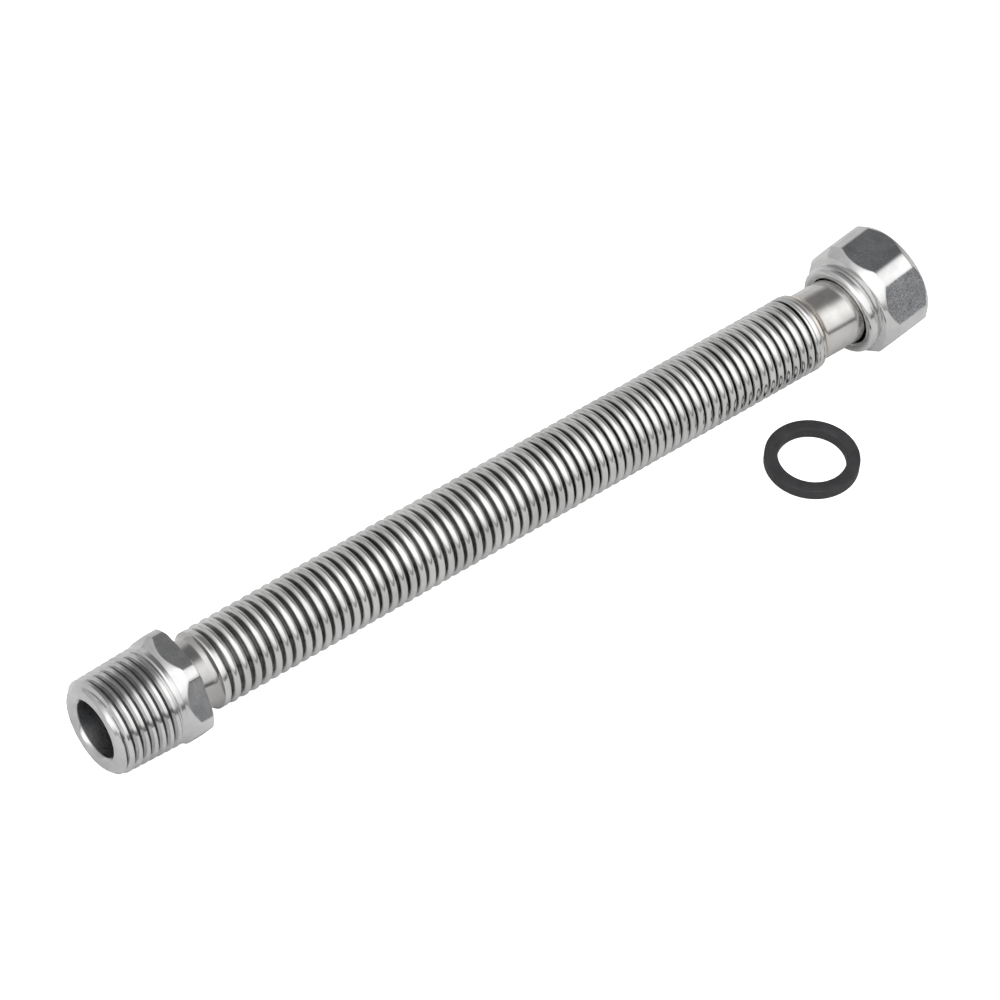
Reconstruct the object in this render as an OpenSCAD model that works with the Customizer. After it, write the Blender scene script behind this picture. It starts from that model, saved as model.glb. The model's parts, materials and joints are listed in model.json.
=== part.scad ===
// Corrugated metal gas hose with a turned male fitting on one end and a swivel
// nut on the other, lying on its flats, and the flat gasket that goes into the nut.
// The origin is the centre of the male fitting's end face. +X runs along the hose
// to the nut, and +Z is up.

/* [Corrugated tube] */
// Outside diameter over the crests
crest_d = 17.2; // [16:0.1:18]
// Outside diameter at the bottom of the grooves
groove_d = 13.2; // [12.8:0.1:14]
// Wall of the corrugated tube
tube_wall = 0.3; // [0.15:0.05:0.4]
// Number of crests between the two welded collars
crest_n = 66; // [20:1:90]
// Width of one crest, measured along the hose
crest_w = 1.72; // [1.5:0.02:1.8]
// Pitch of the crests beside the male fitting
pitch_start = 2.505; // [2.3:0.005:2.8]
// Pitch of the crests beside the nut
pitch_end = 2.044; // [2:0.002:2.3]
// How far handling has pushed crests together and apart
bunching = 0.36; // [0:0.02:0.4]
// Crests from one pushed-together stretch to the next
bunch_crests = 32; // [24:1:60]
// Place of the first crest in such a stretch, in degrees
bunch_phase = -43; // [-180:1:180]
// Width of the groove beside the collar at the male fitting
start_groove_w = 0.8; // [0.3:0.05:1]
// Width of the groove beside the collar at the tailpiece
end_groove_w = 0.3; // [0.2:0.05:1]
// Width of the welded collar at the male fitting
start_collar_w = 1.6; // [1:0.1:2.5]
// Width of the squeezed collar at the tailpiece
end_collar_w = 1.9; // [1.5:0.1:3]
// How far the collar at the male fitting lies below the crests
start_collar_drop = 0.2; // [0:0.05:0.5]

/* [Male fitting] */
// Gauge diameter of the pipe thread, on both ends of the hose
thread_d = 20.96; // [20.5:0.02:21.4]
// Length of the threaded end, up to the hexagon
thread_l = 15.2; // [12:0.1:20]
// Chamfer on the nose of the thread
nose_chamfer = 1; // [0.5:0.1:1.5]
// Gas bore
bore_d = 12.4; // [11:0.1:12.6]
// Chamfer at the mouth of the gas bore
bore_chamfer = 0.65; // [0.3:0.05:1]
// Hexagon of the fitting, across its flats
hex_af = 22; // [21.6:0.1:26]
// Length of the hexagon
hex_w = 5.1; // [4:0.1:8]
// How far the turned corners stand above the flats
hex_proud = 1.05; // [0.5:0.05:1.3]
// Length of the front bevel of the hexagon
hex_bevel_l = 2.2; // [1:0.1:2.5]
// Edge broken on the back of the hexagon
hex_back_break = 0.4; // [0.2:0.1:0.8]
// Outside diameter of the neck behind the hexagon
neck_d = 15; // [14:0.1:15.6]
// Length of the neck, with its flare
neck_l = 5.2; // [3.5:0.1:10]
// Radius of the hollow flare on the neck
neck_flare_r = 1.75; // [1:0.05:2.5]

/* [Tailpiece] */
// Outside diameter of the cuff
cuff_d = 15; // [14.4:0.1:15.6]
// Length of the cuff from the corrugated tube to the back of the nut
cuff_l = 10.8; // [6:0.1:20]
// Width of the shoulder that is welded to the tube
shoulder_w = 0.6; // [0.4:0.1:1.5]
// Radius of the hollow flare on the cuff
cuff_flare_r = 2.5; // [1.5:0.1:3]
// How far the flange stands out over the hole of the nut
flange_lip = 1.1; // [0.8:0.05:1.2]
// Thickness of the flange
flange_t = 1.2; // [0.8:0.1:2]

/* [Swivel nut] */
// Nut, across its flats
nut_af = 24; // [23.6:0.1:27]
// How far the turned corners of the nut stand above its flats
nut_proud = 0.9; // [0.5:0.05:1.4]
// Clearance of the nut round the cuff
nut_play = 0.6; // [0.5:0.05:0.9]
// Radius of the rounded bead on the back of the nut
bead_r = 1.3; // [1.1:0.05:1.5]
// Back wall of the nut, from the bead to the seat of the flange
nut_back_l = 4.5; // [4.3:0.1:6]
// Length of the female thread
nut_thread_l = 5.9; // [4:0.1:10]
// Depth of the female thread
thread_depth = 1.162; // [0.9:0.002:1.2]
// Chamfer at the mouth of the nut, inside
nut_mouth_chamfer = 1.2; // [0.5:0.1:1.2]
// Length of the bevel on the back of the nut's hexagon
nut_bevel_l = 2.25; // [1.2:0.05:2.6]
// Length of the bevel on the mouth end of the nut's hexagon
nut_front_bevel_l = 1.55; // [0.5:0.05:2]
// Turn of the nut's axis to the side, in degrees
nut_turn = 5.22; // [0:0.02:6]
// Tilt of the nut's axis upwards, in degrees
nut_tilt = 3.27; // [0:0.01:4]
// Roll of the nut from lying flat, in degrees
nut_roll = 1.3; // [0:0.1:5]
// How far the nut hangs to the side of the cuff's axis
nut_aside = 0.185; // [0:0.005:0.22]
// How far the nut hangs below the cuff's axis
nut_sag = 0.12; // [0:0.01:0.18]

/* [Gasket] */
// Outside diameter of the gasket
gasket_d = 20; // [18:0.1:21]
// Hole in the gasket
gasket_hole_d = 14.4; // [12:0.1:15]
// Thickness of the gasket
gasket_t = 2.5; // [1.5:0.1:3]
// Rounding of the gasket's edges
gasket_edge = 0.2; // [0.1:0.05:0.4]
// Distance of the gasket along the hose
gasket_x = 166; // [120:1:175]
// Distance of the gasket to the side of the hose
gasket_y = 22; // [22:1:60]

/* [Hidden] */
$fn = 96;
steel = "#b9b9b6";
polished = "#d2d1cc";
black_rubber = "#1d1d1e";

// Steps in one crest, in one groove and in a small rounding
crest_steps = 8;
groove_steps = 4;
edge_steps = 3;
cut = 1;

// Radii
bore_r = bore_d / 2;
thread_r = thread_d / 2;
neck_r = neck_d / 2;
crest_r = crest_d / 2;
groove_r = groove_d / 2;
tube_inner_r = groove_r - tube_wall;
crest_half = crest_w / 2;
crest_centre_r = crest_r - crest_half;
hex_corner_r = hex_af / 2 + hex_proud;
hex_face_step = 0.12;
cuff_r = cuff_d / 2;

// Stations along the hose
hex_end = thread_l + hex_w;
tube_start = hex_end + neck_l;
start_collar_r = crest_r - start_collar_drop;
start_collar_end = tube_start + start_collar_w;
first_crest = start_collar_end + start_groove_w + crest_half;
pitch_drop = (pitch_start - pitch_end) / (2 * (crest_n - 1));
end_collar_start = crest_x(crest_n - 1) + crest_half + end_groove_w;
tube_end = end_collar_start + end_collar_w;
collar_edge = 0.3;
seam_depth = 0.15;
seam_share = 0.37;

// Centre of crest number i: the pitch falls evenly, with a slow push and pull on it
function push(i) = bunching * cos(360 * i / bunch_crests + bunch_phase);
function crest_x(i) = first_crest + pitch_start * i - pitch_drop * i * i + push(i) - push(0);

// Nut, measured from its back along its own axis
nut_x = tube_end + cuff_l;
nut_cant = acos(cos(nut_turn) * cos(nut_tilt));
hole_r = cuff_r + nut_play;
bead_centre_r = hole_r + bead_r / 2;
bead_half_l = bead_r * cos(30);
waist_r = bead_centre_r + bead_r / 2;
waist_l = 0.27;
waist_end = bead_r + bead_half_l + waist_l;
nut_back_rise = 1.9;
nut_back_lean = 0.4;
nut_corner_r = nut_af / 2 + nut_proud;
nut_thread_r = thread_r - thread_depth;
relief_r = thread_r + 0.12;
flange_r = hole_r + flange_lip;
flange_play = 0.1;
flange_room = 0.3;
cant_reach = flange_r * tan(nut_cant);
relief_end = nut_back_l + 2 * cant_reach + flange_play + flange_t + flange_room;
nut_thread_end = relief_end + nut_thread_l;
nut_l = nut_thread_end + nut_mouth_chamfer;
nut_mouth_r = nut_af / 2 - 0.1;
flange_x = nut_x + nut_back_l + cant_reach + flange_play;
tail_end = flange_x + flange_t;

// Table that the two hexagons rest on, which falls a little towards the nut
nut_flat_half = sqrt(nut_corner_r * nut_corner_r - nut_af * nut_af / 4);
nut_bevel_end = waist_end + nut_back_lean + nut_bevel_l;
nut_low_r = nut_af / 2 * cos(nut_roll) + nut_flat_half * sin(nut_roll);
nut_low_x = nut_x + nut_bevel_end;
nut_low_z = nut_bevel_end * sin(nut_tilt) - nut_sag - nut_low_r * cos(nut_tilt);
table_slope = (nut_low_z + hex_af / 2) / (nut_low_x - hex_end);
function table_z(x) = -hex_af / 2 + table_slope * (x - hex_end);

// Points on an arc in the plane of [radius, distance along the axis]
function arc(centre, r, from, to, steps) =
    [for (k = [0:steps]) let (a = from + (to - from) * k / steps)
        centre + r * [cos(a), sin(a)]];

// Grooves of the tube: number 0 lies between the start collar and the first crest
function groove_left(i) = i == 0 ? start_collar_end : crest_x(i - 1) + crest_half;
function groove_right(i) = i == crest_n ? end_collar_start : crest_x(i) - crest_half;
function groove_half(i) = (groove_right(i) - groove_left(i)) / 2;
function groove_centre(i) =
    [groove_r + groove_half(i), (groove_left(i) + groove_right(i)) / 2];

// Turns a shape made along Z so that it runs along the hose
module along_hose() {
    rotate([0, 90, 0]) children();
}

// Solid of revolution from points of [radius, distance along the axis]
module turned(points) {
    rotate_extrude() polygon(points);
}

// Hexagonal bar with a flat below once it lies along the hose
module hex_bar(across, from, to) {
    translate([0, 0, from]) rotate([0, 0, 30])
        cylinder(d = across / cos(30), h = to - from, $fn = 6);
}

// Round hole with a 45 degree chamfer at its first end
module chamfered_bore(r, chamfer, from, to) {
    turned([[0, from - cut], [r + chamfer + cut, from - cut], [r, from + chamfer],
        [r, to + cut], [0, to + cut]]);
}

// Threaded nose, hexagon and neck, turned from one bar
module male_fitting() {
    flare_rise = start_collar_r - neck_r;
    flare_a = acos(1 - flare_rise / neck_flare_r);
    flare_start = tube_start - neck_flare_r * sin(flare_a);
    flare_centre = [neck_r + neck_flare_r, flare_start];
    color(steel) along_hose() difference() {
        union() {
            turned([[0, 0], [thread_r - nose_chamfer, 0], [thread_r, nose_chamfer],
                [thread_r, thread_l + cut], [0, thread_l + cut]]);
            intersection() {
                hex_bar(hex_af, thread_l, hex_end);
                turned([[0, thread_l], [thread_r + hex_face_step, thread_l],
                    [hex_corner_r, thread_l + hex_bevel_l],
                    [hex_corner_r, hex_end - hex_back_break],
                    [hex_corner_r - hex_back_break, hex_end], [0, hex_end]]);
            }
            turned(concat([[0, hex_end - cut], [neck_r, hex_end - cut]],
                arc(flare_centre, neck_flare_r, 180, 180 - flare_a, 2 * edge_steps),
                [[0, tube_start]]));
        }
        chamfered_bore(bore_r, bore_chamfer, 0, tube_start);
    }
}

// Thin corrugated tube with the welded collars on its ends
module bellows() {
    seam_x = end_collar_start + seam_share * end_collar_w;
    start_collar = concat(
        arc([start_collar_r - collar_edge, tube_start + collar_edge], collar_edge,
            -90, 0, edge_steps),
        arc([start_collar_r - collar_edge, start_collar_end - collar_edge], collar_edge,
            0, 90, edge_steps));
    end_collar = concat(
        arc([crest_r - collar_edge, end_collar_start + collar_edge], collar_edge,
            -90, 0, edge_steps),
        [[crest_r, seam_x - seam_depth], [crest_r - seam_depth, seam_x],
            [crest_r, seam_x + seam_depth]],
        arc([crest_r - collar_edge, tube_end - collar_edge], collar_edge,
            0, 90, edge_steps));
    outside = [for (i = [0:crest_n]) each concat(
        arc(groove_centre(i), groove_half(i), 270, 90, groove_steps),
        i == crest_n ? [] :
            arc([crest_centre_r, crest_x(i)], crest_half, -90, 90, crest_steps))];
    inside = [for (i = [crest_n:-1:0]) each concat(
        arc(groove_centre(i), groove_half(i) + tube_wall, i == crest_n ? 180 : 90,
            i == 0 ? 180 : 270, groove_steps),
        i == 0 ? [] :
            arc([crest_centre_r, crest_x(i - 1)], crest_half - tube_wall, 90, -90,
                crest_steps))];
    color(polished) along_hose() turned(concat(
        [[tube_inner_r, tube_start]], start_collar, outside, end_collar,
        [[tube_inner_r, tube_end]], inside));
}

// Cuff with the welded shoulder behind and the flange that holds the nut
module tailpiece() {
    shoulder_r = crest_r - seam_depth;
    flare_a = acos(1 - (shoulder_r - cuff_r) / cuff_flare_r);
    flare_start = tube_end + shoulder_w;
    flare_end = flare_start + cuff_flare_r * sin(flare_a);
    color(steel) along_hose() difference() {
        turned(concat(
            [[0, tube_end], [shoulder_r - seam_depth, tube_end],
                [shoulder_r, tube_end + seam_depth]],
            arc([cuff_r + cuff_flare_r, flare_end], cuff_flare_r, 180 + flare_a, 180,
                2 * edge_steps),
            [[cuff_r, flange_x], [flange_r, flange_x], [flange_r, tail_end],
                [0, tail_end]]));
        translate([0, 0, tube_end - cut])
            cylinder(r = bore_r, h = tail_end - tube_end + 2 * cut);
    }
}

// Nut with a rounded bead behind, a female thread and room for the flange
module swivel_nut() {
    hex_start_r = waist_r + nut_back_rise;
    color(polished)
        translate([nut_x, -nut_aside, -nut_sag]) rotate([0, -nut_tilt, nut_turn])
        along_hose() rotate([0, 0, -nut_roll]) difference() {
            intersection() {
                hex_bar(nut_af, 0, nut_l);
                turned(concat([[0, bead_r - bead_half_l]],
                    arc([bead_centre_r, bead_r], bead_r, 240, 60, 2 * crest_steps),
                    [[waist_r, waist_end],
                        [hex_start_r, waist_end + nut_back_lean],
                        [nut_corner_r, nut_bevel_end],
                        [nut_corner_r, nut_l - nut_front_bevel_l],
                        [nut_mouth_r, nut_l], [0, nut_l]]));
            }
            turned([[0, -cut], [hole_r, -cut], [hole_r, nut_back_l],
                [relief_r, nut_back_l], [relief_r, relief_end],
                [nut_thread_r, relief_end], [nut_thread_r, nut_thread_end],
                [nut_thread_r + nut_mouth_chamfer + cut, nut_l + cut], [0, nut_l + cut]]);
        }
}

// Flat rubber ring, taken out of the nut and laid beside the hose
module gasket() {
    outer_r = gasket_d / 2;
    inner_r = gasket_hole_d / 2;
    bottom = gasket_edge;
    top = gasket_t - gasket_edge;
    color(black_rubber)
        translate([gasket_x, -gasket_y, table_z(gasket_x - outer_r)])
        turned(concat(
            arc([inner_r + gasket_edge, bottom], gasket_edge, 180, 270, edge_steps),
            arc([outer_r - gasket_edge, bottom], gasket_edge, 270, 360, edge_steps),
            arc([outer_r - gasket_edge, top], gasket_edge, 0, 90, edge_steps),
            arc([inner_r + gasket_edge, top], gasket_edge, 90, 180, edge_steps)));
}

male_fitting();
bellows();
tailpiece();
swivel_nut();
gasket();
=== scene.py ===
import bisect
import json
import math
import random

import bpy
from mathutils import Matrix, Vector


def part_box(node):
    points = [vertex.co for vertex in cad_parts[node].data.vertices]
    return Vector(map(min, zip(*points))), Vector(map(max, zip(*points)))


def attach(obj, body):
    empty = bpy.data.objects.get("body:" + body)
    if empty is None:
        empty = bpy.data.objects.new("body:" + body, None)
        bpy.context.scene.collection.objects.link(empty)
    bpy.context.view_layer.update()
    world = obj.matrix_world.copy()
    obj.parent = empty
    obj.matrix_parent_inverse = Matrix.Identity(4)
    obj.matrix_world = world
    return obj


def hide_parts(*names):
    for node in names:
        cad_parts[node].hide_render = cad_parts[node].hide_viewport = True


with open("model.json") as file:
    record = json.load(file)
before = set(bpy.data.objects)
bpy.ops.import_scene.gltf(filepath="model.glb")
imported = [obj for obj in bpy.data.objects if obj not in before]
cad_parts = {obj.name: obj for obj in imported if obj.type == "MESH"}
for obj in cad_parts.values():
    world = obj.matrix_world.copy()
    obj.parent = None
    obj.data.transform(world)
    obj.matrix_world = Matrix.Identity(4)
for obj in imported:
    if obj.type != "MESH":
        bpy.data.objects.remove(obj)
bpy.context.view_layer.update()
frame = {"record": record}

mm = 0.001
turnSteps = 144  # segments round a turned piece
step = 0.06      # mm from one run of an outline to the next


# Helpers

def deselectAll():
    if bpy.context.object and bpy.context.object.mode != "OBJECT":
        bpy.ops.object.mode_set(mode="OBJECT")
    bpy.ops.object.select_all(action="DESELECT")


def pick(piece):
    deselectAll()
    piece.select_set(True)
    bpy.context.view_layer.objects.active = piece


def cleanUp(piece):
    pick(piece)
    bpy.ops.object.mode_set(mode="EDIT")
    bpy.ops.mesh.select_all(action="SELECT")
    bpy.ops.mesh.remove_doubles(threshold=0.002 * mm)
    bpy.ops.mesh.dissolve_degenerate(threshold=0.001 * mm)
    bpy.ops.mesh.normals_make_consistent(inside=False)
    bpy.ops.object.mode_set(mode="OBJECT")


def smooth(piece, angle=34):
    pick(piece)
    bpy.ops.object.shade_smooth_by_angle(angle=math.radians(angle))


def joinPieces(name, pieces):
    deselectAll()
    for piece in pieces:
        piece.select_set(True)
    bpy.context.view_layer.objects.active = pieces[0]
    bpy.ops.object.join()
    pieces[0].name = name
    return pieces[0]


def arcPoints(centre, radius, start, end, steps, squash=1.0):
    # points of [along, radius]; the angle is 0 along the hose and 90 straight out from it
    points = []
    for k in range(steps + 1):
        a = math.radians(start + (end - start) * k / steps)
        points.append([centre[0] + radius * math.cos(a),
                       centre[1] + squash * radius * math.sin(a)])
    return points


def linePoints(start, end, steps):
    return [[start[0] + (end[0] - start[0]) * k / steps,
             start[1] + (end[1] - start[1]) * k / steps] for k in range(steps + 1)]


def eased(corners, edge):
    # every inner corner becomes a small rounded edge of three points
    points = [corners[0]]
    for before, corner, after in zip(corners, corners[1:], corners[2:]):
        ends = []
        for other in (before, after):
            gap = math.dist(corner, other)
            share = min(edge, 0.45 * gap) / gap if gap else 0
            ends.append([corner[0] + share * (other[0] - corner[0]),
                         corner[1] + share * (other[1] - corner[1])])
        middle = [0.25 * ends[0][k] + 0.5 * corner[k] + 0.25 * ends[1][k] for k in (0, 1)]
        points += [ends[0], middle, ends[1]]
    return points + [corners[-1]]


def turn(name, points, steps=turnSteps):
    # lathe: a ring of points is laid along the outline, which is then spun about the hose
    closed = math.dist(points[0], points[-1]) < 1e-6
    ring = points[:-1] if closed else points
    deselectAll()
    bpy.ops.mesh.primitive_circle_add(vertices=len(ring), radius=mm, fill_type="NOTHING")
    piece = bpy.context.object
    piece.name = name
    for vertex, (x, r) in zip(piece.data.vertices, ring):
        vertex.co = (x * mm, r * mm, 0)
        vertex.select = vertex.index in (0, len(ring) - 1)
    for edge in piece.data.edges:
        edge.select = set(edge.vertices) == {0, len(ring) - 1}
    bpy.ops.object.mode_set(mode="EDIT")
    bpy.ops.mesh.select_mode(type="EDGE")
    if not closed:
        bpy.ops.mesh.delete(type="EDGE")
    bpy.ops.mesh.select_mode(type="VERT")
    bpy.ops.mesh.select_all(action="SELECT")
    bpy.ops.mesh.spin(steps=steps, angle=2 * math.pi, center=(0, 0, 0), axis=(1, 0, 0))
    bpy.ops.object.mode_set(mode="OBJECT")
    cleanUp(piece)
    return piece


def roll(name, rows, radiusAt, lead=0.0, limits=None, steps=turnSteps):
    # a flat grid rolled round the hose; with a lead its rows climb like a thread
    deselectAll()
    bpy.ops.mesh.primitive_grid_add(x_subdivisions=steps, y_subdivisions=len(rows) - 1, size=1)
    piece = bpy.context.object
    piece.name = name
    for vertex in piece.data.vertices:
        turnShare = vertex.co.x + 0.5
        x, r = rows[round((vertex.co.y + 0.5) * (len(rows) - 1))]
        angle = 2 * math.pi * (round(turnShare * steps) / steps)
        x += lead * turnShare
        if limits:
            x = min(max(x, limits[0]), limits[1])
        r = radiusAt(x, r, angle)
        vertex.co = (x * mm, r * math.cos(angle) * mm, r * math.sin(angle) * mm)
    cleanUp(piece)
    return piece


def softMin(a, b, blendWidth=0.07):
    low, high = min(a, b), max(a, b)
    return low - blendWidth * math.log1p(math.exp((low - high) / blendWidth))


def hexRadius(across, angle):
    return across / 2 / math.cos(angle % (math.pi / 3) - math.pi / 6)


def toothShare(phase, crest, root):
    # 1 at the root of a thread, 0 at its crest, with straight flanks between
    rise = abs(2 * (phase % 1) - 1)
    return min(max((rise - crest) / (1 - crest - root), 0), 1)


def ease(value, start, end):
    share = min(max((value - start) / (end - start), 0), 1)
    return share * share * (3 - 2 * share)


# Camera

camera = {
    "azimuth": -42.19, "elevation": 48.70, "roll": 4.82,  # degrees
    "lens": 180, "sensor": 36,                            # mm
    "aim": (100.30, 0.0, 0.0), "distance": 1006.3, "rise": 0.247,  # mm
}


def addCamera():
    data = bpy.data.cameras.new("camera")
    data.lens = camera["lens"]
    data.sensor_width = camera["sensor"]
    data.clip_start = 0.05
    data.clip_end = 20
    eye = bpy.data.objects.new("camera", data)
    bpy.context.scene.collection.objects.link(eye)
    turned = (Matrix.Rotation(math.radians(camera["azimuth"]), 3, "Z")
              @ Matrix.Rotation(math.radians(90 - camera["elevation"]), 3, "X")
              @ Matrix.Rotation(math.radians(camera["roll"]), 3, "Z"))
    place = Vector(camera["aim"]) + turned @ Vector((0, camera["rise"], camera["distance"]))
    eye.matrix_world = Matrix.Translation(place * mm) @ turned.to_4x4()
    bpy.context.scene.camera = eye


addCamera()
print("camera set")


# Materials

def linear(hexCode):
    channels = [int(hexCode[k:k + 2], 16) / 255 for k in (1, 3, 5)]
    return [c / 12.92 if c <= 0.04045 else ((c + 0.055) / 1.055) ** 2.4 for c in channels] + [1]


def addNode(tree, kind, settings=None, values=None, links=None):
    node = tree.nodes.new(kind)
    for key, value in (settings or {}).items():
        setattr(node, key, value)
    for key, value in (values or {}).items():
        node.inputs[key].default_value = value
    for key, source in (links or {}).items():
        tree.links.new(source, node.inputs[key])
    return node


def setRamp(node, stops, mode="LINEAR"):
    ramp = node.color_ramp
    ramp.interpolation = mode
    while len(ramp.elements) < len(stops):
        ramp.elements.new(0.5)
    for element, (place, colour) in zip(ramp.elements, stops):
        element.position = place
        element.color = colour
    return node


def startMaterial(name):
    material = bpy.data.materials.new(name)
    material.use_nodes = True
    tree = material.node_tree
    tree.nodes.clear()
    output = addNode(tree, "ShaderNodeOutputMaterial")
    shader = addNode(tree, "ShaderNodeBsdfPrincipled")
    tree.links.new(shader.outputs["BSDF"], output.inputs["Surface"])
    place = addNode(tree, "ShaderNodeTexCoord").outputs["Object"]
    return material, tree, shader, place


def tintAndShadeMix(tree, colour, inMm, tintAndShade):
    # a second colour that fades out along the hose or outward from its axis, in mm; it carries a
    # weld tint on the cuff, painted shade in the tube's grooves, and both on the fitting's neck
    kept = addNode(tree, "ShaderNodeVectorMath", {"operation": "MULTIPLY"},
                   {1: tintAndShade["along"]}, {0: inMm}).outputs["Vector"]
    reach = addNode(tree, "ShaderNodeVectorMath", {"operation": "LENGTH"},
                    links={0: kept}).outputs["Value"]
    share = addNode(tree, "ShaderNodeMapRange", {"interpolation_type": "SMOOTHSTEP"},
                    {"From Min": tintAndShade["start"], "From Max": tintAndShade["end"],
                     "To Min": tintAndShade["share"], "To Max": 0}, {"Value": reach}).outputs["Result"]
    return addNode(tree, "ShaderNodeMix", {"data_type": "RGBA"}, {7: linear(tintAndShade["colour"])},
                   {0: share, 6: colour}).outputs[2]


def steelMaterial(name, look, turnedBack=None):
    # metal: a broad cloudy change of tone, fine tool marks round the axis, and handling marks
    material, tree, shader, place = startMaterial(name)
    inMm = addNode(tree, "ShaderNodeMapping", {"vector_type": "POINT"},
                   {"Scale": (1 / mm, 1 / mm, 1 / mm)}, {"Vector": place}).outputs["Vector"]
    if turnedBack:
        shift = addNode(tree, "ShaderNodeVectorMath", {"operation": "SUBTRACT"},
                        {1: turnedBack["place"]}, {0: place}).outputs["Vector"]
        inMm = addNode(tree, "ShaderNodeMapping", {"vector_type": "TEXTURE"},
                       {"Rotation": turnedBack["turn"], "Scale": (mm, mm, mm)},
                       {"Vector": shift}).outputs["Vector"]
    cloud = addNode(tree, "ShaderNodeTexNoise", None,
                    {"Scale": 1 / look["cloudSize"], "Detail": 3, "Roughness": 0.6},
                    {"Vector": inMm}).outputs["Fac"]
    markPlace = addNode(tree, "ShaderNodeMapping", None, {"Scale": look["markScale"]},
                        {"Vector": inMm}).outputs["Vector"]
    marks = addNode(tree, "ShaderNodeTexNoise", None,
                    {"Scale": 1, "Detail": 4, "Roughness": 0.7},
                    {"Vector": markPlace}).outputs["Fac"]
    grit = addNode(tree, "ShaderNodeTexNoise", None,
                   {"Scale": 1 / look["gritSize"], "Detail": 2, "Roughness": 0.5},
                   {"Vector": inMm}).outputs["Fac"]
    colours = setRamp(addNode(tree, "ShaderNodeValToRGB", links={"Fac": cloud}),
                      [(0.3, linear(look["dark"])), (0.7, linear(look["light"]))])
    colour = colours.outputs["Color"]
    # the second colour: weld tint, painted shade, or both, as each look lists
    if "tintAndShade" in look:
        colour = tintAndShadeMix(tree, colour, inMm, look["tintAndShade"])
    tree.links.new(colour, shader.inputs["Base Color"])
    shine = addNode(tree, "ShaderNodeMapRange", None,
                    {"From Min": 0.3, "From Max": 0.7, "To Min": look["roughness"][0],
                     "To Max": look["roughness"][1]}, {"Value": marks}).outputs["Result"]
    tree.links.new(shine, shader.inputs["Roughness"])
    shader.inputs["Metallic"].default_value = 1
    markBump = addNode(tree, "ShaderNodeBump", None,
                       {"Strength": 1, "Distance": look["markDepth"] * mm}, {"Height": marks})
    gritBump = addNode(tree, "ShaderNodeBump", None,
                       {"Strength": 1, "Distance": look["gritDepth"] * mm},
                       {"Height": grit, "Normal": markBump.outputs["Normal"]})
    tree.links.new(gritBump.outputs["Normal"], shader.inputs["Normal"])
    return material


def onFlat(normal, limit):
    # whether a face belongs to a flat of a hexagon; the limit is in radians
    angle = math.atan2(normal.z, normal.y) % (math.pi / 3)
    return abs(normal.x) < 0.05 and abs(angle - math.pi / 6) < limit


def coverFaces(piece, materials, choose):
    # each face gets the material that its middle and its normal call for
    for material in materials:
        piece.data.materials.append(material)
    for face in piece.data.polygons:
        face.material_index = choose(face.center / mm, face.normal)


# Male fitting: threaded nose, hexagon and neck, turned from one bar

maleFitting = {
    # half-inch pipe thread with worn crests and narrow roots
    "pitch": 1.814, "toothDepth": 0.95, "taper": 1 / 32, "crestShare": 0.34, "rootShare": 0.06,
    "noseCrest": 10.22, "firstCrest": 1.97, "cameraSide": 123.1, "fade": (13.2, 14.7),
    "threadLength": 15.2, "rowsPerTooth": 18, "rootDepth": 0.72, "rootStart": 1.2,
    "noseRadius": 8.87, "noseRise": 0.05, "noseBlend": 0.03, "faceDepth": 0.02,
    "boreRadius": 6.2, "mouthChamfer": 0.65, "edge": 0.12, "shankRadius": 10.6,
    "across": 22, "proud": 1.05, "bevelTuck": 0.15, "bevelEnd": 17.4, "bevelRows": 26,
    "flatRows": 24, "hexEnd": 20.3, "backBreak": 0.35, "backStep": 0.05, "backRows": 5,
    "neckRadius": 7.5, "neckEdge": 0.2, "flareRadius": 1.75, "flareRows": 8,
    "collarRadius": 8.4, "flatLimit": 0.02,
}


def threadRadius(spec, x, angle):
    # taper thread whose grooves run out before the hexagon
    crest = spec["noseCrest"] + spec["taper"] * x
    start = spec["firstCrest"] - spec["pitch"] * (spec["cameraSide"] / 360 + 0.5)
    phase = (x - start) / spec["pitch"] - angle / (2 * math.pi)
    fade = 1 - ease(x, *spec["fade"])
    tooth = toothShare(phase, spec["crestShare"], spec["rootShare"])
    r = crest - spec["toothDepth"] * tooth * fade
    shank = ease(x, spec["fade"][0], spec["threadLength"])
    r += (spec["shankRadius"] - crest) * shank
    if x <= spec["faceDepth"]:
        return spec["noseRadius"]
    return softMin(r, spec["noseRadius"] + x + spec["noseRise"], spec["noseBlend"])


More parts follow.
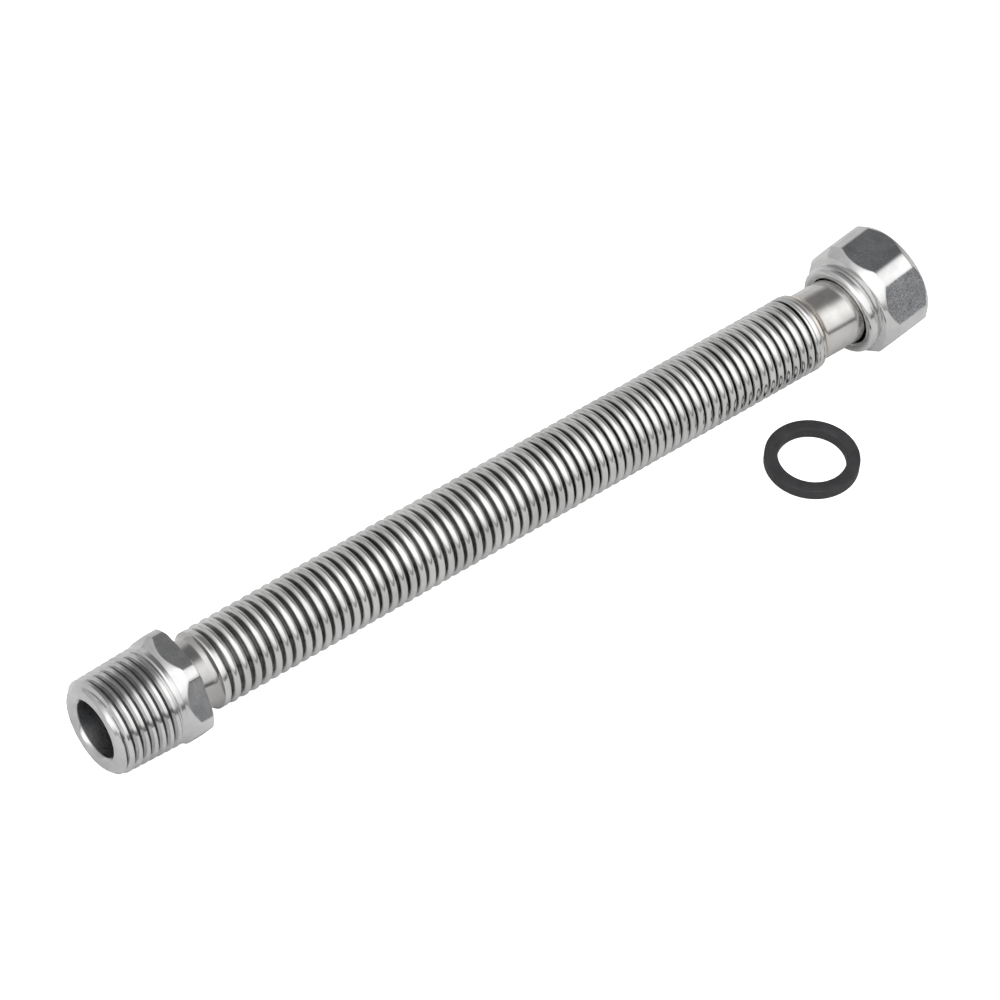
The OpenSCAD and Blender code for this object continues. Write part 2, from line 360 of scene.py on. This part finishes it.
def makeMaleFitting():
    spec = maleFitting
    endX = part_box("male_fitting")[1][0] / mm
    length = spec["threadLength"]
    turns = math.ceil(length / spec["pitch"]) + 2
    start = spec["firstCrest"] - spec["pitch"] * (spec["cameraSide"] / 360 + 3.5)
    rows = [[start + k * spec["pitch"] / spec["rowsPerTooth"], 0]
            for k in range((turns + 2) * spec["rowsPerTooth"] + 1)]

    def helix(x, r, angle):
        return threadRadius(spec, x, angle)

    thread = roll("thread", rows, helix, lead=spec["pitch"], limits=(0, length))
    mouth = eased([[0, spec["noseRadius"]], [0, spec["boreRadius"] + spec["mouthChamfer"]],
                   [spec["mouthChamfer"], spec["boreRadius"]], [length, spec["boreRadius"]]],
                  spec["edge"])
    inner = turn("bore", mouth + [[length, spec["shankRadius"]]])
    corner = spec["across"] / 2 + spec["proud"]
    bevel = linePoints([length, spec["shankRadius"] - spec["bevelTuck"]],
                       [spec["bevelEnd"], corner], spec["bevelRows"])
    backStart = spec["hexEnd"] - spec["backBreak"]
    flat = linePoints([spec["bevelEnd"] + step, corner], [backStart, corner], spec["flatRows"])
    back = linePoints([backStart + spec["backStep"], corner - spec["backStep"]],
                      [spec["hexEnd"], corner - spec["backBreak"]], spec["backRows"])
    rise = spec["collarRadius"] - spec["neckRadius"]
    sweep = math.degrees(math.acos(1 - rise / spec["flareRadius"]))
    flare = arcPoints([endX - spec["flareRadius"] * math.sin(math.radians(sweep)),
                       spec["neckRadius"] + spec["flareRadius"]], spec["flareRadius"],
                      270, 270 + sweep, spec["flareRows"])
    wall = [[spec["hexEnd"], spec["across"] / 2 - spec["backBreak"]],
            [spec["hexEnd"], spec["neckRadius"] + spec["neckEdge"]],
            [spec["hexEnd"] + step, spec["neckRadius"] + step],
            [spec["hexEnd"] + spec["neckEdge"], spec["neckRadius"]]]
    outline = ([[length, spec["boreRadius"]]] + bevel + flat + back + wall
               + flare + [[endX, spec["boreRadius"]], [length, spec["boreRadius"]]])

    def trimmed(x, r, angle):
        onHex = r > spec["shankRadius"] - 0.2
        return softMin(r, hexRadius(spec["across"], angle)) if onHex else r

    hexagon = roll("hexagon", outline, trimmed, steps=2 * turnSteps)
    piece = joinPieces("maleFitting", [thread, inner, hexagon])
    cleanUp(piece)
    smooth(piece)
    return piece


turnedBar = {  # turned and plated: bright, with fine rings round the axis
    "dark": "#c0c0c1", "light": "#dcdcdb", "cloudSize": 7, "markScale": (9, 0.4, 0.4),
    "gritSize": 0.3, "roughness": (0.07, 0.15), "markDepth": 0.002, "gritDepth": 0.001,
    # the neck behind the hexagon is coloured duller and warmer: painted shade in the recess
    # behind the hexagon, with a warm weld tint
    "tintAndShade": {"along": (1, 0, 0), "start": 20.7, "end": 20.1, "share": 0.55, "colour": "#9c9996"},
}
drawnFlat = {  # flats left as drawn: duller, with fine lines across
    "dark": "#97989a", "light": "#b9b9ba", "cloudSize": 5, "markScale": (7, 0.6, 0.6),
    "gritSize": 0.3, "roughness": (0.24, 0.34), "markDepth": 0.006, "gritDepth": 0.004,
}
threadRootShade = {  # painted shade: the roots of the thread are coloured darker, where shade falls, and made rougher
    "dark": "#68686a", "light": "#838384", "cloudSize": 3, "markScale": (9, 0.4, 0.4),
    "gritSize": 0.2, "roughness": (0.25, 0.4), "markDepth": 0.003, "gritDepth": 0.002,
}


def maleFinish(place, normal):
    # 0 turned, 1 flats and bore, 2 roots of the thread, coloured with painted shade
    spec = maleFitting
    away = math.hypot(place.y, place.z)
    if away < spec["boreRadius"] + 0.1:
        return 1
    if place.x < spec["fade"][0]:
        crest = spec["noseCrest"] + spec["taper"] * place.x
        # painted shade: faces deep in the roots of the thread get the darker root colour
        inRoot = place.x > spec["rootStart"] and away < crest - spec["rootDepth"]
        return 2 if inRoot else 0
    onHex = place.x > spec["threadLength"] and away > 10
    return int(onHex and onFlat(normal, spec["flatLimit"]))


barSteel = steelMaterial("turned_plated_steel", turnedBar)
flatSteel = steelMaterial("drawn_bar_flats", drawnFlat)
rootShadeSteel = steelMaterial("thread_root_painted_shade", threadRootShade)
fitting = makeMaleFitting()
coverFaces(fitting, [barSteel, flatSteel, rootShadeSteel], maleFinish)
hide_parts("male_fitting")
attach(fitting, "hose")
print("male fitting made")


# Corrugated tube

tube = {
    "crestRadius": 8.6, "grooveRadius": 6.6, "wall": 0.3, "crestWidth": 1.72, "crests": 66,
    "pitchStart": 2.505, "pitchEnd": 2.044,
    "bunching": 0.36, "bunchCrests": 32, "bunchPhase": -43,  # handling pushed crests together
    "startCollar": 1.6, "startGroove": 0.8, "endCollar": 1.9, "endGroove": 0.3,
    "collarDrop": 0.2, "collarEdge": 0.3, "seamShare": 0.37, "seamDepth": 0.15,
    "unevenRadius": 0.025, "unevenTilt": 0.05, "steps": 72, "pathSteps": 16,
}
tubeStart, tubeEnd = (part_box("bellows")[k][0] / mm for k in (0, 1))


def crestPlace(i):
    spec = tube

    def push(k):
        return spec["bunching"] * math.cos(
            math.radians(360 * k / spec["bunchCrests"] + spec["bunchPhase"]))

    drop = (spec["pitchStart"] - spec["pitchEnd"]) / (2 * (spec["crests"] - 1))
    first = tubeStart + spec["startCollar"] + spec["startGroove"] + spec["crestWidth"] / 2
    return first + spec["pitchStart"] * i - drop * i * i + push(i) - push(0)


crestPlaces = [crestPlace(i) for i in range(tube["crests"])]
crestEnds = [(a + b) / 2 for a, b in zip(crestPlaces, crestPlaces[1:])]


def makeTube():
    spec = tube
    half = spec["crestWidth"] / 2
    crestCentre = spec["crestRadius"] - half
    count = spec["crests"]
    collarR = spec["crestRadius"] - spec["collarDrop"]
    collarEnd = tubeStart + spec["startCollar"]
    endStart = tubeEnd - spec["endCollar"]
    lefts = [collarEnd] + [crestPlaces[i] + half for i in range(count)]
    rights = [crestPlaces[i] - half for i in range(count)] + [endStart]
    inner = spec["grooveRadius"] - spec["wall"]
    edge = spec["collarEdge"]
    # outside: collar, crests and grooves, collar with its seam
    outline = [[tubeStart, inner]]
    outline += arcPoints([tubeStart + edge, collarR - edge], edge, 180, 90, 3)
    outline += arcPoints([collarEnd - edge, collarR - edge], edge, 90, 0, 3)
    for i in range(count + 1):
        gap = (rights[i] - lefts[i]) / 2
        outline += arcPoints([lefts[i] + gap, spec["grooveRadius"] + gap], gap, 180, 360, 4)
        if i < count:
            outline += arcPoints([crestPlaces[i], crestCentre], half, 180, 0, 9)
    seam = endStart + spec["seamShare"] * spec["endCollar"]
    outline += arcPoints([endStart + edge, spec["crestRadius"] - edge], edge, 180, 90, 3)
    outline += [[seam - spec["seamDepth"], spec["crestRadius"]],
                [seam, spec["crestRadius"] - spec["seamDepth"]],
                [seam + spec["seamDepth"], spec["crestRadius"]]]
    outline += arcPoints([tubeEnd - edge, spec["crestRadius"] - edge], edge, 90, 0, 3)
    # and back along the inside
    outline += [[tubeEnd, inner]]
    for i in range(count, -1, -1):
        gap = (rights[i] - lefts[i]) / 2
        outline += [[lefts[i] + gap, inner]]
        if i > 0:
            outline += [[crestPlaces[i - 1] + half - spec["wall"], crestCentre],
                        [crestPlaces[i - 1], spec["crestRadius"] - spec["wall"]],
                        [crestPlaces[i - 1] - half + spec["wall"], crestCentre]]
    piece = turn("corrugatedTube", outline + [[tubeStart, inner]], spec["steps"])
    # no two crests are quite alike: each is a little lower and tilted its own way
    chance = random.Random(11)
    wobble = [(chance.uniform(-1, 1), chance.uniform(-1, 1), chance.uniform(0, 6.283))
              for _ in range(count)]
    for vertex in piece.data.vertices:
        x = vertex.co.x / mm
        r = math.hypot(vertex.co.y, vertex.co.z) / mm
        if r < crestCentre or x < lefts[0] or x > rights[count]:
            continue
        i = bisect.bisect(crestEnds, x)
        grow, tilt, phase = wobble[i]
        share = (r - crestCentre) / half
        angle = math.atan2(vertex.co.z, vertex.co.y)
        scale = 1 + share * spec["unevenRadius"] * (grow - 1) / r
        vertex.co.y *= scale
        vertex.co.z *= scale
        vertex.co.x += share * spec["unevenTilt"] * tilt * math.cos(angle - phase) * mm
    smooth(piece, 60)
    return piece


rolledTube = {  # thin stainless strip, welded and cold rolled: bright, with faint rings
    "dark": "#bdbdbc", "light": "#dcdcdb", "cloudSize": 9, "markScale": (6, 0.5, 0.5),
    "gritSize": 0.3, "roughness": (0.10, 0.18), "markDepth": 0.002, "gritDepth": 0.0015,
    # painted shade: the grooves are coloured darker towards the axis, where shade falls
    "tintAndShade": {"along": (0, 1, 1), "start": 6.9, "end": 7.8, "share": 0.62, "colour": "#585857"},
}
tubeSteel = steelMaterial("cold_rolled_stainless", rolledTube)
bellows = makeTube()
bellows.data.materials.append(tubeSteel)
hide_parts("bellows")
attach(bellows, "hose")
print("corrugated tube made")


# Tailpiece

tailpiece = {
    "shoulderRadius": 8.45, "shoulderWidth": 0.6, "seam": 0.15, "cuffRadius": 7.5,
    "flareRadius": 2.5, "flareRows": 10, "flangeRadius": 9.2, "flangeThickness": 1.2,
    "flangeFoot": 0.6, "boreRadius": 6.2, "edge": 0.15,
}


def makeTailpiece():
    spec = tailpiece
    startX, endX = (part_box("tailpiece")[k][0] / mm for k in (0, 1))
    rise = spec["shoulderRadius"] - spec["cuffRadius"]
    sweep = math.degrees(math.acos(1 - rise / spec["flareRadius"]))
    flareStart = startX + spec["shoulderWidth"]
    flare = arcPoints([flareStart + spec["flareRadius"] * math.sin(math.radians(sweep)),
                       spec["cuffRadius"] + spec["flareRadius"]], spec["flareRadius"],
                      270 - sweep, 270, spec["flareRows"])
    flangeX = endX - spec["flangeThickness"]
    ends = eased([[flangeX - spec["flangeFoot"], spec["cuffRadius"]],
                  [flangeX, spec["cuffRadius"]], [flangeX, spec["flangeRadius"]],
                  [endX, spec["flangeRadius"]], [endX, spec["boreRadius"]],
                  [startX, spec["boreRadius"]]], spec["edge"])
    outline = ([[startX, spec["boreRadius"]],
                [startX, spec["shoulderRadius"] - spec["seam"]],
                [startX + spec["seam"], spec["shoulderRadius"]]] + flare + ends)
    piece = turn("tailpieceCuff", outline)
    smooth(piece)
    return piece


drawnCuff = {  # turned and polished cuff: bright, with a straw tint where it was welded
    "dark": "#bab9b7", "light": "#dad9d7", "cloudSize": 8, "markScale": (7, 0.4, 0.4),
    "gritSize": 0.3, "roughness": (0.12, 0.2), "markDepth": 0.0015, "gritDepth": 0.001,
    # straw tint beside the weld
    "tintAndShade": {"along": (1, 0, 0), "start": 180.3, "end": 185, "share": 0.22, "colour": "#c2a88a"},
}
cuffSteel = steelMaterial("polished_cuff_steel", drawnCuff)
cuff = makeTailpiece()
cuff.data.materials.append(cuffSteel)
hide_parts("tailpiece")
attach(cuff, "hose")
print("tailpiece made")


# Swivel nut, made along its own axis from its back and then laid on the joint's axis

nut = {
    "across": 24, "proud": 0.9, "roll": -1.3, "edge": 0.12,
    "flatLimit": 0.2,  # radians off a flat that still count as it
    # lip and bead behind the hexagon
    "throatLength": 1.2, "throatBreak": 0.5, "throatRadius": 7.8, "lipRadius": 7.75,
    "lipReach": 0.9, "beadRadius": 1.3, "beadRound": 0.9, "beadTop": 10.05, "beadCrown": 1.2,
    "crownRadius": 2, "crownDrop": 1.95, "heelRadius": 0.5, "heelDrop": 0.6, "heelStep": 0.05,
    # waist, bevels and mouth
    "waistLength": 0.27, "waistEdge": 0.25, "backRise": 1.9, "backLean": 0.4,
    "bevelStep": (0.3, 0.21), "bevelLength": 2.25, "bevelRows": 26, "flatRows": 30,
    "frontBevel": 1.55, "frontRows": 14, "mouthBreak": 0.1, "mouthEdge": 0.08, "hexTuck": 1.2,
    # inside
    "hole": 8.1, "backWall": 4.5, "reliefRadius": 10.6, "reliefEnd": 8.085,
    "threadEnd": 13.985, "threadRadius": 9.318, "mouthChamfer": 1.2, "pitch": 1.814,
    "toothDepth": 1.162, "crestShare": 0.17, "rowsPerTooth": 10,
}


def makeNut():
    spec = nut
    bead = spec["beadRadius"]
    waistR = spec["hole"] + bead
    waistEnd = bead + bead * math.cos(math.radians(30)) + spec["waistLength"]
    length = spec["threadEnd"] + spec["mouthChamfer"]
    corner = spec["across"] / 2 + spec["proud"]
    hexStart = [waistEnd + spec["backLean"], waistR + spec["backRise"]]
    bevelEnd = hexStart[0] + spec["bevelLength"]
    frontStart = length - spec["frontBevel"]
    mouthR = spec["across"] / 2 - spec["mouthBreak"]
    mouthEdge = spec["mouthEdge"]
    lip, curve, top = spec["lipReach"], spec["beadRound"], spec["beadTop"]
    squash = (top - curve - spec["lipRadius"]) / lip
    # hole, lip, bead and its heel
    outline = [[spec["backWall"], spec["hole"]], [lip + spec["throatLength"], spec["hole"]],
               [lip + spec["throatBreak"], spec["throatRadius"]]]
    outline += arcPoints([lip, top - curve], lip, 270, 185, 10, squash)
    outline += arcPoints([curve, top - curve], curve, 180, 96, 12)
    outline += arcPoints([curve + spec["beadCrown"] / 2, top - spec["crownDrop"]],
                         spec["crownRadius"], 100, 72, 8)
    outline += arcPoints([curve + spec["beadCrown"] + spec["heelStep"], top - spec["heelDrop"]],
                         spec["heelRadius"], 60, 10, 6)
    # waist, bevel, flats, front bevel and mouth
    outline += eased([[waistEnd - spec["waistLength"], waistR], [waistEnd, waistR], hexStart,
                      [bevelEnd, corner]], spec["waistEdge"])[1:-1]
    outline += linePoints([hexStart[k] + spec["bevelStep"][k] for k in (0, 1)],
                          [bevelEnd, corner], spec["bevelRows"])
    outline += linePoints([bevelEnd + step, corner], [frontStart, corner], spec["flatRows"])
    outline += linePoints([frontStart + step, corner - mouthEdge / 2],
                          [length - mouthEdge, mouthR + mouthEdge / 2], spec["frontRows"])
    outline += [[length, mouthR - mouthEdge],
                [length, spec["threadRadius"] + spec["mouthChamfer"]]]

    def trimmed(x, r, angle):
        onHex = r > waistR + spec["hexTuck"]
        return softMin(r, hexRadius(spec["across"], angle)) if onHex else r

    outer = roll("nutOuter", outline, trimmed, steps=2 * turnSteps)
    inside = turn("nutInside", eased(
        [[spec["backWall"], spec["hole"]], [spec["backWall"], spec["reliefRadius"]],
         [spec["reliefEnd"], spec["reliefRadius"]]], spec["edge"]))

    def helix(x, r, angle):
        phase = (x - spec["reliefEnd"]) / spec["pitch"] - angle / (2 * math.pi)
        bore = spec["threadRadius"] + spec["toothDepth"] * toothShare(
            phase, spec["crestShare"], spec["crestShare"])
        inEnd = spec["reliefRadius"] - 2 * (x - spec["reliefEnd"])
        outEnd = spec["threadRadius"] + x - spec["threadEnd"]
        return max(bore, inEnd, outEnd)

    tooth = spec["pitch"] / spec["rowsPerTooth"]
    span = length - spec["reliefEnd"] + 2 * spec["pitch"]
    rows = [[spec["reliefEnd"] - 1.5 * spec["pitch"] + k * tooth, 0]
            for k in range(int(span / tooth) + 10)]
    thread = roll("nutThread", rows, helix, lead=spec["pitch"],
                  limits=(spec["reliefEnd"], length))
    piece = joinPieces("swivelNut", [outer, inside, thread])
    cleanUp(piece)
    smooth(piece)
    piece.matrix_world = Matrix.Translation(nutPlace) @ nutTurn.to_4x4()
    pick(piece)
    bpy.ops.object.transform_apply(location=True, rotation=True, scale=True)
    return piece


joint = frame["record"]["behaviour"]["joints"][0]
nutPlace = Vector(joint["pos_m"])
nutAxis = Vector(joint["axis"])
nutTurn = (Matrix.Rotation(math.atan2(nutAxis.y, nutAxis.x), 3, "Z")
           @ Matrix.Rotation(-math.asin(nutAxis.z), 3, "Y")
           @ Matrix.Rotation(math.radians(nut["roll"]), 3, "X"))
polishedNut = {  # turned from hexagon bar, with polished bead and corners
    "dark": "#c6c6c6", "light": "#dddddc", "cloudSize": 7, "markScale": (5, 0.5, 0.5),
    "gritSize": 0.35, "roughness": (0.08, 0.16), "markDepth": 0.0012, "gritDepth": 0.0012,
}
blastedFlat = {  # flats with a fine pitted skin that breaks up what they mirror
    "dark": "#9c9da0", "light": "#b4b5b8", "cloudSize": 5, "markScale": (0.7, 2, 2),
    "gritSize": 0.5, "roughness": (0.14, 0.22), "markDepth": 0.003, "gritDepth": 0.09,
}


def nutFinish(place, normal):
    # 0 polished, 1 flats
    return int(onFlat(nutTurn.inverted() @ normal, nut["flatLimit"]))


nutBack = {"place": nutPlace, "turn": nutTurn.to_euler()}
nutSteel = steelMaterial("polished_nut_steel", polishedNut, nutBack)
nutFlatSteel = steelMaterial("blasted_nut_flats", blastedFlat, nutBack)
swivelNut = makeNut()
coverFaces(swivelNut, [nutSteel, nutFlatSteel], nutFinish)
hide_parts("swivel_nut")
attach(swivelNut, "nut")
print("swivel nut made")


# Gasket

gasket = {"innerRadius": 7.2, "edge": 0.25, "rimSteps": 4}


def makeGasket():
    low, high = (Vector(corner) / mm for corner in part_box("gasket"))
    centre = (low + high) / 2
    outerR = (high.x - low.x) / 2
    innerR = gasket["innerRadius"]
    thick = high.z - low.z
    e = gasket["edge"]
    half = thick / 2
    steps = gasket["rimSteps"]
    outline = (arcPoints([-half + e, innerR + e], e, 270, 180, steps)
               + arcPoints([-half + e, outerR - e], e, 180, 90, steps)
               + arcPoints([half - e, outerR - e], e, 90, 0, steps)
               + arcPoints([half - e, innerR + e], e, 0, -90, steps))
    piece = turn("gasketRing", outline + [outline[0]])
    piece.matrix_world = (Matrix.Translation(centre * mm)
                          @ Matrix.Rotation(math.radians(-90), 4, "Y"))
    pick(piece)
    bpy.ops.object.transform_apply(location=True, rotation=True, scale=True)
    smooth(piece)
    return piece


dieCutRubber = {  # die-cut black rubber: matte, with a faint bloom and a fine grain
    "dark": "#202022", "light": "#313133", "bloomSize": 4, "grainSize": 0.35,
    "grainDepth": 0.012, "roughness": 0.62,
}


def rubberMaterial(name, look):
    material, tree, shader, place = startMaterial(name)
    bloom = addNode(tree, "ShaderNodeTexNoise", None,
                    {"Scale": 1 / (look["bloomSize"] * mm), "Detail": 4, "Roughness": 0.65},
                    {"Vector": place}).outputs["Fac"]
    grain = addNode(tree, "ShaderNodeTexNoise", None,
                    {"Scale": 1 / (look["grainSize"] * mm), "Detail": 3, "Roughness": 0.6},
                    {"Vector": place}).outputs["Fac"]
    colours = setRamp(addNode(tree, "ShaderNodeValToRGB", links={"Fac": bloom}),
                      [(0.35, linear(look["dark"])), (0.75, linear(look["light"]))])
    tree.links.new(colours.outputs["Color"], shader.inputs["Base Color"])
    shader.inputs["Roughness"].default_value = look["roughness"]
    shader.inputs["IOR"].default_value = 1.5
    bump = addNode(tree, "ShaderNodeBump", None,
                   {"Strength": 1, "Distance": look["grainDepth"] * mm}, {"Height": grain})
    tree.links.new(bump.outputs["Normal"], shader.inputs["Normal"])
    return material


ring = makeGasket()
ring.data.materials.append(rubberMaterial("die_cut_black_rubber", dieCutRubber))
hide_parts("gasket")
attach(ring, "hose")
print("gasket made")


# Floor, light and surroundings

studio = {
    "floorSize": 6, "floorColours": ("#cdcdcd", "#d2d2d2"), "floorGrain": 900,
    "floorGap": 0.02,   # mm under the hexagons
    "floorGlow": 0.95,  # the card shows as pure white, as in the photograph
    "lampPlace": (0.1, 0.1, 0.9), "lampTarget": (0.1, 0, 0), "lampSize": 1.2, "lampPower": 2.5,
    "fillPower": 1.0,
    # brightness by height round the hose, from the front over the top to the back:
    # straight out from it, from its left and from its right
    "strip": [(0, 0.22), (8, 0.24), (16, 1.0), (38, 1.4), (60, 1.6), (74, 1.35), (84, 0.8),
              (94, 0.34), (108, 0.25), (142, 0.26), (153, 0.45), (163, 0.72), (180, 0.75)],
    "left": [(0, 0.3), (9, 0.55), (20, 1.2), (45, 1.7), (86, 1.75), (108, 1.0), (130, 0.7),
             (180, 0.6)],
    "right": [(0, 0.2), (12, 0.26), (28, 0.42), (62, 0.55), (88, 0.52), (112, 0.46),
              (180, 0.46)],
    "leftReach": (0.34, 0.05), "rightReach": (0.54, 0.84),
}


def makeFloor():
    # the table passes through the lowest edges of both hexagons
    hexEnd = Vector((maleFitting["hexEnd"] * mm, 0, -maleFitting["across"] / 2 * mm))
    low = min((v.co for v in swivelNut.data.vertices), key=lambda co: co.z)
    slope = (low.z - hexEnd.z) / (low.x - hexEnd.x)
    deselectAll()
    bpy.ops.mesh.primitive_grid_add(x_subdivisions=2, y_subdivisions=2,
                                    size=studio["floorSize"])
    floor = bpy.context.object
    floor.name = "floor"
    for vertex in floor.data.vertices:
        vertex.co.z = hexEnd.z + slope * (vertex.co.x - hexEnd.x) - studio["floorGap"] * mm
    material, tree, shader, place = startMaterial("matte_white_card")
    fibre = addNode(tree, "ShaderNodeTexNoise", None,
                    {"Scale": studio["floorGrain"], "Detail": 2},
                    {"Vector": place}).outputs["Fac"]
    tone = setRamp(addNode(tree, "ShaderNodeValToRGB", links={"Fac": fibre}),
                   [(k, linear(studio["floorColours"][k])) for k in (0, 1)])
    tree.links.new(tone.outputs["Color"], shader.inputs["Base Color"])
    shader.inputs["Roughness"].default_value = 0.9
    seen = addNode(tree, "ShaderNodeLightPath").outputs["Is Camera Ray"]
    glow = addNode(tree, "ShaderNodeMath", {"operation": "MULTIPLY"},
                   {1: studio["floorGlow"]}, {0: seen}).outputs["Value"]
    shader.inputs["Emission Color"].default_value = (1, 1, 1, 1)
    tree.links.new(glow, shader.inputs["Emission Strength"])
    floor.data.materials.append(material)


def addWorld():
    # soft boxes in front, a dark gap overhead and a pale wall behind, all along the hose
    world = bpy.data.worlds.new("studio")
    bpy.context.scene.world = world
    world.use_nodes = True
    tree = world.node_tree
    tree.nodes.clear()
    output = addNode(tree, "ShaderNodeOutputWorld")
    place = addNode(tree, "ShaderNodeTexCoord").outputs["Generated"]
    parts = addNode(tree, "ShaderNodeSeparateXYZ", links={"Vector": place}).outputs
    front = addNode(tree, "ShaderNodeMath", {"operation": "MULTIPLY"}, {1: -1},
                    {0: parts["Y"]}).outputs["Value"]
    angle = addNode(tree, "ShaderNodeMath", {"operation": "ARCTAN2"},
                    links={0: parts["Z"], 1: front}).outputs["Value"]
    share = addNode(tree, "ShaderNodeMapRange", None,
                    {"From Min": 0, "From Max": math.pi, "To Min": 0, "To Max": 1},
                    {"Value": angle}).outputs["Result"]
    glows = [setRamp(addNode(tree, "ShaderNodeValToRGB", links={"Fac": share}),
                     [(degrees / 180, (level / 2, level / 2, level / 2, 1))
                      for degrees, level in studio[side]]).outputs["Color"]
             for side in ("strip", "left", "right")]
    glow = glows[0]
    for sideGlow, (start, end) in zip(glows[1:], (studio["leftReach"], studio["rightReach"])):
        away = addNode(tree, "ShaderNodeMapRange", {"interpolation_type": "SMOOTHSTEP"},
                       {"From Min": start, "From Max": end, "To Min": 0, "To Max": 1},
                       {"Value": parts["X"]}).outputs["Result"]
        glow = addNode(tree, "ShaderNodeMix", {"data_type": "RGBA"}, None,
                       {0: away, 6: glow, 7: sideGlow}).outputs[2]
    light = addNode(tree, "ShaderNodeBackground", None, {"Strength": 2 * studio["fillPower"]},
                    {"Color": glow})
    tree.links.new(light.outputs["Background"], output.inputs["Surface"])


def addLight(name, place, target, size, power):
    data = bpy.data.lights.new(name, "AREA")
    data.shape = "DISK"
    data.size = size
    data.energy = power
    lamp = bpy.data.objects.new(name, data)
    bpy.context.scene.collection.objects.link(lamp)
    direction = Vector(place) - Vector(target)
    lamp.matrix_world = (Matrix.Translation(place)
                         @ direction.to_track_quat("Z", "Y").to_matrix().to_4x4())
    lamp.visible_glossy = False
    lamp.visible_camera = False


makeFloor()
addWorld()
addLight("overhead", studio["lampPlace"], studio["lampTarget"], studio["lampSize"],
         studio["lampPower"])
bpy.context.scene.view_settings.view_transform = "Standard"
bpy.context.scene.view_settings.look = "None"
print("studio set")
